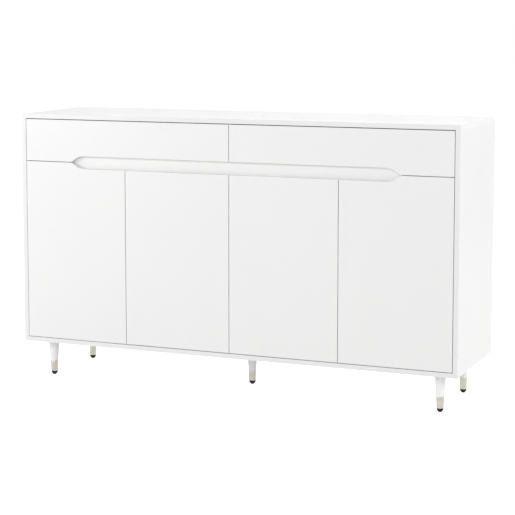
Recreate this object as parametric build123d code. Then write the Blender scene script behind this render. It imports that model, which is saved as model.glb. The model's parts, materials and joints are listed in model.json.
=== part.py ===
from build123d import *
import math
import os

# A low sideboard: two drawers over four inset doors, in a box that stands on five turned legs.
# Sizes are millimetres and angles are degrees. The origin is on the floor under the middle of the
# box, +X runs to the right, -Y points out of the front and +Z is up.

# ---------------------------------------------------------------- the whole
width = 1500.0
depth = 420.0
height = 890.0
leg_height = 124.0          # floor to the underside of the box

# ---------------------------------------------------------------- boards
board = 15.0                # top, bottom, sides, divider, decks, rails and shelves
front_board = 15.0          # doors and drawer fronts
drawer_board = 12.0         # drawer sides and backs
back_board = 3.0
drawer_bottom_board = 3.0

# ---------------------------------------------------------------- fronts and the gaps round them
gap = 2.0                   # beside and between the fronts
top_gap = 2.5
bottom_gap = 2.0
drawer_front_height = 138.0
bumper_thickness = 1.8
bumper_room = 0.2
bumper_diameter = 8.0
bumper_from_door_gap = 16.0
bumper_share = 0.25         # of the recess's half length, to the inner pad of a drawer front

# ---------------------------------------------------------------- finger recess
recess_half_height = 21.0
recess_half_length = 566.0  # middle to the pointed end
recess_slope = 35.0
recess_corner_radius = 58.0

# ---------------------------------------------------------------- inside the box
rail_below_recess = 13.5    # how far the rail runs on behind the doors
rail_above_recess = 9.5     # and behind the drawer fronts
rebate_width = 8.0          # ledge round the back that the back panels lie in
back_room = 0.5
shelf_side_room = 1.0
shelf_setback = 45.0        # from the back of the doors
shelf_rear_room = 7.0
pin_diameter = 5.0
pin_end_room = 0.5
pin_hole_pitch = 32.0
pin_inset = 40.0            # from the shelf's front and rear edges
pin_tab = 12.0
pin_tab_thickness = 4.0

# ---------------------------------------------------------------- drawers
drawer_over_rail = 5.0
drawer_under_top = 16.0     # room for what stands proud of a full drawer
runner_thickness = 12.7     # one side of the drawer, all three members
runner_height = 45.0
runner_step = 50.0          # runners are sold in lengths of this step
runner_behind_front = 5.0
runner_rear_room = 30.0
runner_sheet = 1.2
runner_step_in = 3.6        # from one member's open side to the next one's
ball_room = 4.1             # between two members' flanges
groove_depth = 5.0
groove_room = 0.2
groove_above_edge = 10.0

# ---------------------------------------------------------------- hinges
hinge_from_door_end = 90.0
cup_diameter = 35.0
cup_edge = 5.0              # door edge to cup
cup_skin = 3.5              # left of the door in front of the cup
cup_wall = 1.0
cup_flange = 1.0
cup_flange_width = 20.0
cup_flange_height = 58.0
cup_flange_round = 5.0
arm_width = 14.0
arm_rise = 9.0
arm_length = 60.0
arm_behind_door = 2.0
arm_neck = 6.0
arm_in_cup = 7.0
arm_past_cup_middle = 1.0
plate_thickness = 3.0
plate_width = 38.0
plate_height = 50.0
plate_round = 6.0
plate_setback = 37.0        # door back to the plate's screws
plate_screw_half_pitch = 16.0

# ---------------------------------------------------------------- legs
leg_top_diameter = 36.0
ferrule_top_diameter = 25.0
ferrule_bottom_diameter = 22.0
ferrule_top_height = 49.0
ferrule_wall = 1.4
ferrule_room = 0.1
glide_diameter = 21.0
glide_height = 12.0
glide_flat_diameter = 9.0
glide_rim = 4.0
glide_pin_diameter = 8.0
glide_pin_length = 14.0
leg_shoulder_round = 1.5
leg_side_inset = 72.0       # box edges to the leg's axis
leg_front_inset = 70.0
leg_rear_inset = 77.0
middle_leg_forward = 15.0   # in front of the middle of the depth
hanger_bolt_diameter = 7.8
hanger_bolt_in_leg = 30.0
insert_diameter = 12.0
insert_bore = 8.0
insert_skin = 2.0           # left of the bottom panel above an insert
leg_plate_thickness = 2.5
leg_plate_width = 80.0
leg_plate_depth = 60.0
leg_plate_screw_inset = 10.0

# ---------------------------------------------------------------- joints between boards
dowel_diameter = 8.0
dowel_length = 30.0
dowel_skin = 4.0            # left of a board behind a dowel in its face
dowel_end_room = 0.5
dowel_from_edge = 60.0
seam_dowel_from_edge = 35.0
cam_from_edge = 110.0
cam_diameter = 15.0
cam_setback = 24.0          # joint to the cam's axis
cam_skin = 2.0
cam_end_room = 0.3
cam_bolt_hole = 8.0
cam_bolt_diameter = 6.0
cam_bolt_thread_diameter = 5.0
cam_bolt_thread = 11.0
cam_bolt_neck_diameter = 3.6
cam_bolt_neck = 5.0
cam_bolt_head = 4.0
cam_channel = 7.4
cross_slot = 1.6
fit = 0.05                  # radial room round every dowel, bolt, screw and peg

# ---------------------------------------------------------------- screws
screw_diameter = 3.5
screw_head_diameter = 6.0
screw_head_height = 1.6
screw_tip_room = 0.5
back_screw_spacing = 170.0
runner_screw_stagger = 12.0
runner_screw_shares = (0.15, 0.5, 0.85)     # along the runner's length
deck_dowel_shares = (0.2, 0.5, 0.8)         # along the recess rail

# ---------------------------------------------------------------- planes that pieces share
half_width = width / 2
front_y = -depth / 2
rear_y = depth / 2
inner_x = half_width - board
box_bottom = leg_height
floor_z = box_bottom + board
ceiling_z = height - board
divider_half = board / 2
front_back_y = front_y + front_board
rail_y = front_back_y + bumper_thickness + bumper_room
rail_back_y = rail_y + board
back_y = rear_y - back_board

door_bottom = floor_z + bottom_gap
drawer_front_top = ceiling_z - top_gap
drawer_front_bottom = drawer_front_top - drawer_front_height
door_top = drawer_front_bottom - gap
recess_z = drawer_front_bottom - gap / 2
low_door_top = recess_z - recess_half_height
rail_bottom = low_door_top - rail_below_recess
rail_top = recess_z + recess_half_height + rail_above_recess
deck_bottom = rail_bottom
deck_top = deck_bottom + board

drawer_front_width = (2 * inner_x - 3 * gap) / 2
door_width = (2 * inner_x - 5 * gap) / 4
middle_gap_x = gap / 2 + door_width + gap / 2    # centre of the gap between two doors of a pair

drawer_low = rail_top + drawer_over_rail
drawer_high = ceiling_z - drawer_under_top
runner_z = (drawer_low + drawer_high) / 2
runner_front = front_back_y + runner_behind_front
runner_length = runner_step * math.floor((back_y - runner_rear_room - runner_front) / runner_step)
drawer_rear = front_back_y + runner_length
drawer_bottom_z = drawer_low + groove_above_edge

shelf_front = front_back_y + shelf_setback
shelf_rear = back_y - shelf_rear_room
shelf_z = (floor_z + deck_bottom - board) / 2
pin_columns = (shelf_front + pin_inset, shelf_rear - pin_inset)

ferrule_core_room = ferrule_wall + ferrule_room
middle_leg_y = -middle_leg_forward
leg_places = {
    "front_left_leg": (-half_width + leg_side_inset, front_y + leg_front_inset),
    "front_right_leg": (half_width - leg_side_inset, front_y + leg_front_inset),
    "rear_left_leg": (-half_width + leg_side_inset, rear_y - leg_rear_inset),
    "rear_right_leg": (half_width - leg_side_inset, rear_y - leg_rear_inset),
    "middle_leg": (0.0, middle_leg_y),
}

screw_length = plate_thickness + divider_half - screw_tip_room
pin_depth = divider_half - pin_end_room
dowel_rows = (front_y + dowel_from_edge, rear_y - dowel_from_edge)
seam_dowel_rows = (front_y + seam_dowel_from_edge, rear_y - seam_dowel_from_edge)
cam_rows = (front_y + cam_from_edge, rear_y - cam_from_edge)
hinge_heights = (door_bottom + hinge_from_door_end, low_door_top - hinge_from_door_end)

sides = {"left": -1, "right": 1}
UP = Vector(0, 0, 1)
RIGHT = Vector(1, 0, 0)
BACK = Vector(0, 1, 0)

pieces = {}


# ---------------------------------------------------------------- shapes
def slab(xs, ys, zs):
    """A rectangular board that fills three ranges, each given in either order."""
    low = Vector(min(xs), min(ys), min(zs))
    high = Vector(max(xs), max(ys), max(zs))
    size = high - low
    return Location((low + high) / 2) * Box(size.X, size.Y, size.Z)


def rod(start, direction, diameter, length):
    """A round bar or bore that begins at a point and runs along a direction."""
    return Plane(origin=start, z_dir=direction) * Pos(0, 0, length / 2) * Cylinder(diameter / 2, length)


def turned(outline):
    """A solid turned about the vertical axis from a closed outline of (radius, height) points."""
    points = [(radius, 0, z) for radius, z in outline]
    return revolve(make_face(Polyline(*points, close=True)), Axis.Z)


def reaches(piece, cutter):
    """Whether the boxes round two shapes meet, so that one could cut the other."""
    a = piece.bounding_box()
    b = cutter.bounding_box()
    clear_x = a.min.X >= b.max.X or b.min.X >= a.max.X
    clear_y = a.min.Y >= b.max.Y or b.min.Y >= a.max.Y
    clear_z = a.min.Z >= b.max.Z or b.min.Z >= a.max.Z
    return not (clear_x or clear_y or clear_z)


def drilled(piece, cutters):
    """The piece with each cutter that reaches it taken out."""
    near = [cutter for cutter in cutters if reaches(piece, cutter)]
    return piece - near if near else piece


def group(solids):
    """Separate solids that share one node."""
    return Compound(children=[solid for shape in solids for solid in shape.solids()])


# ---------------------------------------------------------------- dowels and cam fittings
def dowel_joint(point, direction, reach):
    """A dowel across a joint at a point, reaching that far along the direction, and its bore."""
    start = point - direction * (dowel_length - reach)
    dowel = chamfer(rod(start, direction, dowel_diameter, dowel_length).edges(), dowel_end_room)
    bore_start = start - direction * dowel_end_room
    bore = rod(bore_start, direction, dowel_diameter + 2 * fit, dowel_length + 2 * dowel_end_room)
    return dowel, bore


def cam_joint(point, direction, lock_axis, face_room):
    """A cam bolt screwed in along the direction and the lock that draws it the other way.

    The lock turns about lock_axis and sits flush with the face that is face_room from the bolt.
    """
    thread = rod(point, direction, cam_bolt_thread_diameter, cam_bolt_thread)
    shank_length = cam_setback - cam_bolt_neck - cam_bolt_head / 2
    shank = rod(point, -direction, cam_bolt_diameter, shank_length)
    neck_start = point - direction * shank_length
    neck = rod(neck_start, -direction, cam_bolt_neck_diameter, cam_bolt_neck)
    head = rod(neck_start - direction * cam_bolt_neck, -direction, cam_bolt_diameter, cam_bolt_head)
    bolt = thread + shank + neck + head

    axis_point = point - direction * cam_setback
    mouth = axis_point + lock_axis * face_room
    lock_depth = board - cam_skin
    lock = rod(mouth, -lock_axis, cam_diameter - 2 * fit, lock_depth - cam_end_room)
    channel_length = cam_diameter / 2 + cam_channel / 2
    channel_middle = axis_point + direction * (cam_diameter / 2 - channel_length / 2)
    channel = Plane(origin=channel_middle, x_dir=direction, z_dir=lock_axis) * Box(
        channel_length, cam_channel, cam_channel
    )
    slot = Plane(origin=mouth, x_dir=direction, z_dir=lock_axis)
    cross = slot * Box(cam_channel, cross_slot, cross_slot) + slot * Box(cross_slot, cam_channel, cross_slot)
    lock = lock - channel - cross

    bores = [
        rod(point, direction, cam_bolt_thread_diameter + 2 * fit, cam_bolt_thread + dowel_end_room),
        rod(point, -direction, cam_bolt_hole, cam_setback),
        rod(mouth, -lock_axis, cam_diameter, lock_depth),
    ]
    return bolt, lock, bores


def board_joints():
    """Every dowel, cam bolt and cam lock between the boards, and the bores that take them."""
    face_reach = board - dowel_skin
    half_reach = dowel_length / 2
    top_z = ceiling_z + board / 2
    bottom_z = box_bottom + board / 2
    deck_z = deck_bottom + board / 2
    rail_mid_y = (rail_y + rail_back_y) / 2
    rail_dowel_heights = (rail_bottom + board / 2, rail_top - board / 2)
    side_mid_x = half_width - board / 2
    dowels = []
    cams = []

    for sign in sides.values():
        outward = RIGHT * sign
        for y in dowel_rows:
            dowels.append(dowel_joint(Vector(sign * side_mid_x, y, ceiling_z), UP, face_reach))
            dowels.append(dowel_joint(Vector(sign * inner_x, y, bottom_z), outward, face_reach))
            dowels.append(dowel_joint(Vector(sign * inner_x, y, deck_z), outward, face_reach))
        for z in rail_dowel_heights:
            dowels.append(dowel_joint(Vector(sign * inner_x, rail_mid_y, z), outward, face_reach))
        for share in deck_dowel_shares:
            dowels.append(dowel_joint(Vector(sign * inner_x * share, rail_back_y, deck_z), -BACK, face_reach))
        for y in cam_rows:
            cams.append(cam_joint(Vector(sign * side_mid_x, y, ceiling_z), UP, -outward, board / 2))
            cams.append(cam_joint(Vector(sign * inner_x, y, bottom_z), outward, -UP, board / 2))
            cams.append(cam_joint(Vector(sign * inner_x, y, deck_z), outward, UP, board / 2))

    for y in dowel_rows:
        dowels.append(dowel_joint(Vector(0, y, ceiling_z), UP, face_reach))
        dowels.append(dowel_joint(Vector(0, y, floor_z), -UP, face_reach))
        dowels.append(dowel_joint(Vector(0, y, deck_z), RIGHT, half_reach))
    for y in seam_dowel_rows:
        dowels.append(dowel_joint(Vector(0, y, top_z), RIGHT, half_reach))
        dowels.append(dowel_joint(Vector(0, y, bottom_z), RIGHT, half_reach))
    for z in rail_dowel_heights:
        dowels.append(dowel_joint(Vector(0, rail_mid_y, z), RIGHT, half_reach))
    for y in cam_rows:
        cams.append(cam_joint(Vector(0, y, top_z), RIGHT, -UP, board / 2))
        cams.append(cam_joint(Vector(0, y, bottom_z), RIGHT, -UP, board / 2))

    pieces["dowels"] = group(dowel for dowel, bore in dowels)
    pieces["cam_bolts"] = group(bolt for bolt, lock, bores in cams)
    pieces["cam_locks"] = group(lock for bolt, lock, bores in cams)
    return [bore for dowel, bore in dowels] + [bore for bolt, lock, bores in cams for bore in bores]


# ---------------------------------------------------------------- screws
def screw(seat, direction, room=0.0):
    """A countersunk screw whose head is flush at a point, with its shank along the direction.

    With some room all round it is the hole that the screw is driven into.
    """
    top = screw_head_diameter / 2 + room
    shank = screw_diameter / 2 + room
    head = Plane(origin=seat, z_dir=direction) * Pos(0, 0, screw_head_height / 2) * Cone(
        top, shank, screw_head_height
    )
    return head + rod(seat, direction, 2 * shank, screw_length + room)


def back_screw_seats():
    """Where the back panels are screwed on: round each panel's edge, down the divider and along the deck."""
    ledge = rebate_width / 2
    low = floor_z - ledge
    high = ceiling_z + ledge
    rows = max(2, round((high - low) / back_screw_spacing))
    columns = max(2, round(inner_x / back_screw_spacing))
    seats = []
    for sign in sides.values():
        for step in range(columns):
            x = sign * inner_x * (step + 0.5) / columns
            for z in (low, deck_bottom + board / 2, high):
                seats.append((Vector(x, rear_y, z), -BACK))
        for step in range(rows):
            z = low + (high - low) * (step + 0.5) / rows
            seats.append((Vector(sign * (inner_x + ledge), rear_y, z), -BACK))
            seats.append((Vector(sign * divider_half / 2, rear_y, z + sign * board / 2), -BACK))
    return seats


def hinge_screw_seats():
    """Two screws for each hinge plate, on the side panels and on both faces of the divider."""
    seats = []
    for sign, wall, face in hinge_walls():
        for z in hinge_heights:
            for step in (-1, 1):
                x = wall + face * plate_thickness
                place = Vector(x, front_back_y + plate_setback, z + step * plate_screw_half_pitch)
                seats.append((place, RIGHT * -face))
    return seats


def runner_screw_seats():
    """Three screws for each outer runner. Those of the right drawer are staggered, as the divider is thin."""
    seats = []
    for name, sign in sides.items():
        stagger = runner_screw_stagger if name == "right" else 0
        for wall, face in ((sign * inner_x, -sign), (sign * divider_half, sign)):
            for share in runner_screw_shares:
                y = runner_front + runner_length * share + stagger
                seats.append((Vector(wall + face * runner_sheet, y, runner_z), RIGHT * -face))
    return seats


def leg_plate_screw_seats():
    """Four screws up through the middle leg's plate."""
    x = leg_plate_width / 2 - leg_plate_screw_inset
    y = leg_plate_depth / 2 - leg_plate_screw_inset
    z = box_bottom - leg_plate_thickness
    return [(Vector(sx * x, middle_leg_y + sy * y, z), UP) for sx in (-1, 1) for sy in (-1, 1)]


def panel_screws():
    """All the short screws, and the holes they make."""
    seats = back_screw_seats() + hinge_screw_seats() + runner_screw_seats() + leg_plate_screw_seats()
    pieces["panel_screws"] = group(screw(seat, direction) for seat, direction in seats)
    return [screw(seat, direction, fit) for seat, direction in seats]


# ---------------------------------------------------------------- legs
def leg_outline(top_z):
    """The wooden leg: a single taper, with a stepped core that the ferrule slides over."""
    top = leg_top_diameter / 2
    upper = ferrule_top_diameter / 2
    lower = ferrule_bottom_diameter / 2
    return [
        (0, top_z),
        (top - leg_shoulder_round, top_z),
        (top, top_z - leg_shoulder_round),
        (upper, ferrule_top_height),
        (upper - ferrule_core_room, ferrule_top_height),
        (lower - ferrule_core_room, glide_height),
        (0, glide_height),
    ]


def ferrule():
    """A tapered metal sleeve on the foot of a leg."""
    upper = ferrule_top_diameter / 2
    lower = ferrule_bottom_diameter / 2
    return turned(
        [
            (upper - ferrule_wall, ferrule_top_height),
            (upper, ferrule_top_height),
            (lower, glide_height),
            (lower - ferrule_wall, glide_height),
        ]
    )


def glide():
    """A domed foot with a flat to stand on and a pin that is pressed into the leg."""
    rim = glide_diameter / 2
    flat = glide_flat_diameter / 2
    pin = glide_pin_diameter / 2
    pin_top = glide_height + glide_pin_length
    dome_top = glide_height - glide_rim
    outline = Polyline(
        (flat, 0, 0), (0, 0, 0), (0, 0, pin_top), (pin, 0, pin_top), (pin, 0, glide_height),
        (rim, 0, glide_height), (rim, 0, dome_top),
    )
    dome = TangentArc((rim, 0, dome_top), (flat, 0, 0), tangent=(0, 0, -1))
    return revolve(make_face(outline + dome), Axis.Z)


def legs(screw_holes):
    """Five legs with their ferrules, glides and hanger bolts, and what the bottom panel holds for them."""
    bolts = []
    inserts = []
    bores = []
    for name, (x, y) in leg_places.items():
        on_plate = name == "middle_leg"
        top_z = box_bottom - leg_plate_thickness if on_plate else box_bottom
        bolt_top = floor_z - insert_skin
        bolt_foot = Vector(x, y, top_z - hanger_bolt_in_leg)
        bolt = rod(bolt_foot, UP, hanger_bolt_diameter, bolt_top - bolt_foot.Z)
        bolts.append(bolt)
        bolt_bore = rod(bolt_foot, UP, hanger_bolt_diameter + 2 * fit, hanger_bolt_in_leg)
        pin_bore = rod(
            Vector(x, y, glide_height), UP, glide_pin_diameter + 2 * fit, glide_pin_length + screw_tip_room
        )
        pieces[name] = Pos(x, y, 0) * turned(leg_outline(top_z)) - bolt_bore - pin_bore
        nut_height = bolt_top - box_bottom
        nut = rod(Vector(x, y, box_bottom), UP, insert_diameter, nut_height)
        thread = rod(Vector(x, y, top_z), UP, insert_bore, floor_z - top_z)
        bores.append(rod(Vector(x, y, box_bottom), UP, insert_diameter + 2 * fit, nut_height))
        if on_plate:
            plate = slab(
                (-leg_plate_width / 2, leg_plate_width / 2),
                (y - leg_plate_depth / 2, y + leg_plate_depth / 2),
                (top_z, box_bottom),
            )
            plate = fillet(plate.edges().filter_by(Axis.Z), leg_plate_screw_inset / 2)
            pieces["middle_leg_plate"] = drilled(plate, screw_holes) + nut - thread
        else:
            inserts.append(nut - thread)
    pieces["leg_hanger_bolts"] = group(bolts)
    pieces["leg_insert_nuts"] = group(inserts)
    pieces["leg_ferrules"] = group(Pos(x, y, 0) * ferrule() for x, y in leg_places.values())
    pieces["leg_glides"] = group(Pos(x, y, 0) * glide() for x, y in leg_places.values())
    return bores


# ---------------------------------------------------------------- shelves
def shelf_pins():
    """Four pegs with tabs under each shelf, and the rows of holes that they can move to."""
    pins = []
    bores = []
    for name, sign in sides.items():
        for wall, face in ((sign * inner_x, -sign), (sign * divider_half, sign)):
            for y in pin_columns:
                peg_z = shelf_z - pin_tab_thickness + pin_diameter / 2
                peg = rod(Vector(wall, y, peg_z), RIGHT * -face, pin_diameter, pin_depth)
                tab = slab(
                    (wall, wall + face * pin_tab),
                    (y - pin_tab / 2, y + pin_tab / 2),
                    (shelf_z - pin_tab_thickness, shelf_z),
                )
                collar = slab(
                    (wall, wall + face * shelf_side_room),
                    (y - pin_tab / 2, y + pin_tab / 2),
                    (shelf_z - pin_tab_thickness, peg_z + pin_diameter / 2),
                )
                pins.append(peg + tab + collar)
                for step in (-1, 0, 1):
                    place = Vector(wall, y, peg_z + step * pin_hole_pitch)
                    bores.append(rod(place, RIGHT * -face, pin_diameter + 2 * fit, pin_depth + pin_end_room))
    pieces["shelf_pins"] = group(pins)
    return bores


def shelves():
    """One shelf in each compartment, loose on its pins."""
    for name, sign in sides.items():
        span = (sign * (divider_half + shelf_side_room), sign * (inner_x - shelf_side_room))
        pieces[name + "_shelf"] = slab(span, (shelf_front, shelf_rear), (shelf_z, shelf_z + board))


# ---------------------------------------------------------------- the box
def box_boards(bores):
    """The fixed boards, drilled for every fastener, and the back panels in their rebate."""
    ledge = slab(
        (-inner_x - rebate_width, inner_x + rebate_width),
        (back_y, rear_y),
        (floor_z - rebate_width, ceiling_z + rebate_width),
    )
    cutters = bores + [ledge]
    rail_pocket = slab((-board, board), (front_y, rail_back_y), (rail_bottom, rail_top))
    divider = slab((-divider_half, divider_half), (rail_y, back_y), (floor_z, ceiling_z))
    pieces["centre_divider"] = drilled(divider - rail_pocket, bores)
    for name, sign in sides.items():
        top = slab((0, sign * half_width), (front_y, rear_y), (ceiling_z, height))
        bottom = slab((0, sign * inner_x), (front_y, rear_y), (box_bottom, floor_z))
        side = slab((sign * inner_x, sign * half_width), (front_y, rear_y), (box_bottom, ceiling_z))
        rail = slab((0, sign * inner_x), (rail_y, rail_back_y), (rail_bottom, rail_top))
        deck = slab((sign * divider_half, sign * inner_x), (rail_back_y, back_y), (deck_bottom, deck_top))
        back = slab(
            (sign * back_room / 2, sign * (inner_x + rebate_width - back_room)),
            (back_y, rear_y),
            (floor_z - rebate_width + back_room, ceiling_z + rebate_width - back_room),
        )
        pieces[name + "_top_panel"] = drilled(top, cutters)
        pieces[name + "_bottom_panel"] = drilled(bottom, cutters)
        pieces[name + "_side_panel"] = drilled(side, cutters)
        pieces[name + "_recess_rail"] = drilled(rail, bores)
        pieces[name + "_drawer_deck"] = drilled(deck, bores)
        pieces[name + "_back_panel"] = drilled(back, bores)


def bumpers():
    """Clear pads on the rail: one for each door by its free edge, and two for each drawer front."""
    door_z = (rail_bottom + low_door_top) / 2
    drawer_z = rail_top - rail_above_recess / 2
    pads = []
    for sign in sides.values():
        for x in (middle_gap_x - bumper_from_door_gap, middle_gap_x + bumper_from_door_gap):
            pads.append(rod(Vector(sign * x, rail_y, door_z), -BACK, bumper_diameter, bumper_thickness))
        for x in (recess_half_length * bumper_share, recess_half_length):
            pads.append(rod(Vector(sign * x, rail_y, drawer_z), -BACK, bumper_diameter, bumper_thickness))
    pieces["rail_bumpers"] = group(pads)


# ---------------------------------------------------------------- finger recess
def recess_cutter():
    """The long opening with pointed ends, half above and half below the gap under the drawers."""
    run = recess_half_height / math.tan(math.radians(recess_slope))
    corner_x = recess_half_length - run
    high = recess_z + recess_half_height
    low = recess_z - recess_half_height
    outline = FilletPolyline(
        (-recess_half_length, 0, recess_z),
        (-corner_x, 0, high),
        (corner_x, 0, high),
        (recess_half_length, 0, recess_z),
        (corner_x, 0, low),
        (-corner_x, 0, low),
        radius=[0, recess_corner_radius, recess_corner_radius, 0, recess_corner_radius, recess_corner_radius],
        close=True,
    )
    return Pos(0, front_y + front_board / 2, 0) * extrude(
        make_face(outline), amount=front_board, dir=(0, 1, 0), both=True
    )


# ---------------------------------------------------------------- drawers
def channel(wall, face, near, far, half_height, flange_side, ys):
    """A pressed channel of one runner member, standing off a wall between two distances.

    Its web is at the distance that flange_side points away from, and its flanges lie flat above and below.
    """
    web = (near, near + runner_sheet) if flange_side > 0 else (far - runner_sheet, far)
    steel = slab(
        (wall + face * web[0], wall + face * web[1]), ys, (runner_z - half_height, runner_z + half_height)
    )
    for side in (-1, 1):
        edge = runner_z + side * half_height
        steel = steel + slab((wall + face * near, wall + face * far), ys, (edge, edge - side * runner_sheet))
    return steel


def runners(name, sign, bores):
    """The three members on each side of a drawer: one on the box, one between, one on the drawer."""
    span = (runner_front, runner_front + runner_length)
    outer_half = runner_height / 2
    middle_half = outer_half - runner_sheet - ball_room
    inner_half = middle_half - runner_sheet - ball_room
    outers = []
    middles = []
    inners = []
    for wall, face in ((sign * inner_x, -sign), (sign * divider_half, sign)):
        outer = channel(wall, face, 0, runner_thickness - runner_step_in, outer_half, 1, span)
        outers.append(drilled(outer, bores))
        middle = channel(wall, face, runner_step_in, runner_thickness - runner_sheet, middle_half, 1, span)
        middles.append(middle)
        inners.append(channel(wall, face, 2 * runner_step_in, runner_thickness, inner_half, -1, span))
    pieces[name + "_drawer_outer_runners"] = group(outers)
    pieces[name + "_drawer_middle_runners"] = group(middles)
    pieces[name + "_drawer_inner_runners"] = group(inners)


def drawer(name, sign, recess):
    """A drawer: a front with half the recess in it, two sides, a back and a thin bottom in a groove."""
    outer = (sign * (divider_half + runner_thickness), sign * (inner_x - runner_thickness))
    inner = (outer[0] + sign * drawer_board, outer[1] - sign * drawer_board)
    box_z = (drawer_low, drawer_high)
    groove = slab(
        (inner[0] - sign * groove_depth, inner[1] + sign * groove_depth),
        (front_back_y - groove_depth, drawer_rear - drawer_board + groove_depth),
        (drawer_bottom_z, drawer_bottom_z + drawer_bottom_board + groove_room),
    )
    bottom = slab(
        (inner[0] - sign * (groove_depth - back_room), inner[1] + sign * (groove_depth - back_room)),
        (front_back_y - groove_depth + back_room, drawer_rear - drawer_board + groove_depth - back_room),
        (drawer_bottom_z, drawer_bottom_z + drawer_bottom_board),
    )
    front = slab(
        (sign * gap / 2, sign * (gap / 2 + drawer_front_width)),
        (front_y, front_back_y),
        (drawer_front_bottom, drawer_front_top),
    )
    divider_side = slab((outer[0], inner[0]), (front_back_y, drawer_rear), box_z)
    outer_side = slab((inner[1], outer[1]), (front_back_y, drawer_rear), box_z)
    back = slab(inner, (drawer_rear - drawer_board, drawer_rear), box_z)
    pieces[name + "_drawer_front"] = front - recess - groove
    pieces[name + "_drawer_divider_side"] = divider_side - groove
    pieces[name + "_drawer_outer_side"] = outer_side - groove
    pieces[name + "_drawer_back"] = back - groove
    pieces[name + "_drawer_bottom"] = bottom


# ---------------------------------------------------------------- doors and hinges
def hinge_walls():
    """(side, wall, way the wall faces) of each door's hinges: the outer door's, then the inner door's."""
    walls = []
    for sign in sides.values():
        walls.append((sign, sign * inner_x, -sign))
        walls.append((sign, sign * divider_half, sign))
    return walls


def door_spans():
    """Each door by name: its hinge edge, its free edge, and the wall its hinges are screwed to."""
    spans = {}
    for name, sign in sides.items():
        outer_edge = sign * (inner_x - gap)
        inner_edge = sign * gap / 2
        spans[name + "_outer_door"] = (outer_edge, outer_edge - sign * door_width, sign * inner_x)
        spans[name + "_inner_door"] = (inner_edge, inner_edge + sign * door_width, sign * divider_half)
    return spans


def hinge_cup(edge, way, z):
    """A hinge cup let into the back of a door, with its flange and the bore that takes it."""
    centre_x = edge + way * (cup_edge + cup_diameter / 2)
    mouth = Vector(centre_x, front_back_y, z)
    depth_in = front_board - cup_skin
    bore = rod(mouth, -BACK, cup_diameter + 2 * fit, depth_in)
    lip = mouth + BACK * cup_flange
    hollow = rod(lip, -BACK, cup_diameter - 2 * cup_wall, depth_in + cup_flange - cup_wall)
    flange = slab(
        (centre_x - cup_flange_width / 2, centre_x + cup_flange_width / 2),
        (front_back_y, front_back_y + cup_flange),
        (z - cup_flange_height / 2, z + cup_flange_height / 2),
    )
    flange = fillet(flange.edges().filter_by(Axis.Y), cup_flange_round)
    rim = rod(lip, -BACK, cup_diameter, cup_flange)
    cup = flange + rim + rod(mouth, -BACK, cup_diameter, depth_in) - hollow
    return cup, bore


def hinge_arm(edge, way, wall, z):
    """The fixed arm: it lies along its plate, cranks behind the door's edge and drops into the cup."""
    base = wall + way * plate_thickness
    tip = edge + way * (cup_edge + cup_diameter / 2 + arm_past_cup_middle)
    crank_y = front_back_y + arm_behind_door
    neck = (tip, tip - way * arm_neck)
    high = (z - arm_width / 2, z + arm_width / 2)
    body = slab((base, base + way * arm_rise), (crank_y, crank_y + arm_length), high)
    crank = slab((base, tip), (crank_y, crank_y + arm_neck), high)
    knuckle = slab(neck, (crank_y, front_back_y - arm_in_cup), high)
    return body + crank + knuckle


def doors_and_hinges(recess, bores):
    """Four doors, each with two hinges: a cup on the door, and an arm and plate on the box."""
    plates = []
    for name, (edge, free_edge, wall) in door_spans().items():
        way = 1 if free_edge > edge else -1
        panel = slab((edge, free_edge), (front_y, front_back_y), (door_bottom, door_top)) - recess
        cups = []
        arms = []
        for z in hinge_heights:
            cup, bore = hinge_cup(edge, way, z)
            cups.append(cup)
            panel = panel - bore
            arms.append(hinge_arm(edge, way, wall, z))
            plate_y = front_back_y + plate_setback
            plate = slab(
                (wall, wall + way * plate_thickness),
                (plate_y - plate_width / 2, plate_y + plate_width / 2),
                (z - plate_height / 2, z + plate_height / 2),
            )
            plates.append(drilled(fillet(plate.edges().filter_by(Axis.X), plate_round), bores))
        pieces[name] = panel
        pieces[name + "_hinge_cups"] = group(cups)
        pieces[name + "_hinge_arms"] = group(arms)
    pieces["hinge_plates"] = group(plates)


# ---------------------------------------------------------------- the sideboard
screw_holes = panel_screws()
bores = board_joints() + screw_holes + legs(screw_holes) + shelf_pins()
box_boards(bores)
shelves()
bumpers()
recess = recess_cutter()
for name, sign in sides.items():
    runners(name, sign, screw_holes)
    drawer(name, sign, recess)
doors_and_hinges(recess, screw_holes)

os.makedirs("parts", exist_ok=True)
for name, piece in pieces.items():
    export_step(piece, "parts/" + name + ".step")
print(len(pieces), "nodes")
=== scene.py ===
# %% [markdown]
# # A white sideboard, dressed in lacquer, nickel and steel
# The boards, drawers and doors already exist as solid parts. They could be modelled again here, but
# then the two models could drift apart. So this script keeps them where they are, softens their
# edges, gives each its finish, and remakes only the turned and pressed metal pieces, in finer detail
# than a working drawing needs.

# %% Load the frame
import json
import math

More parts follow.
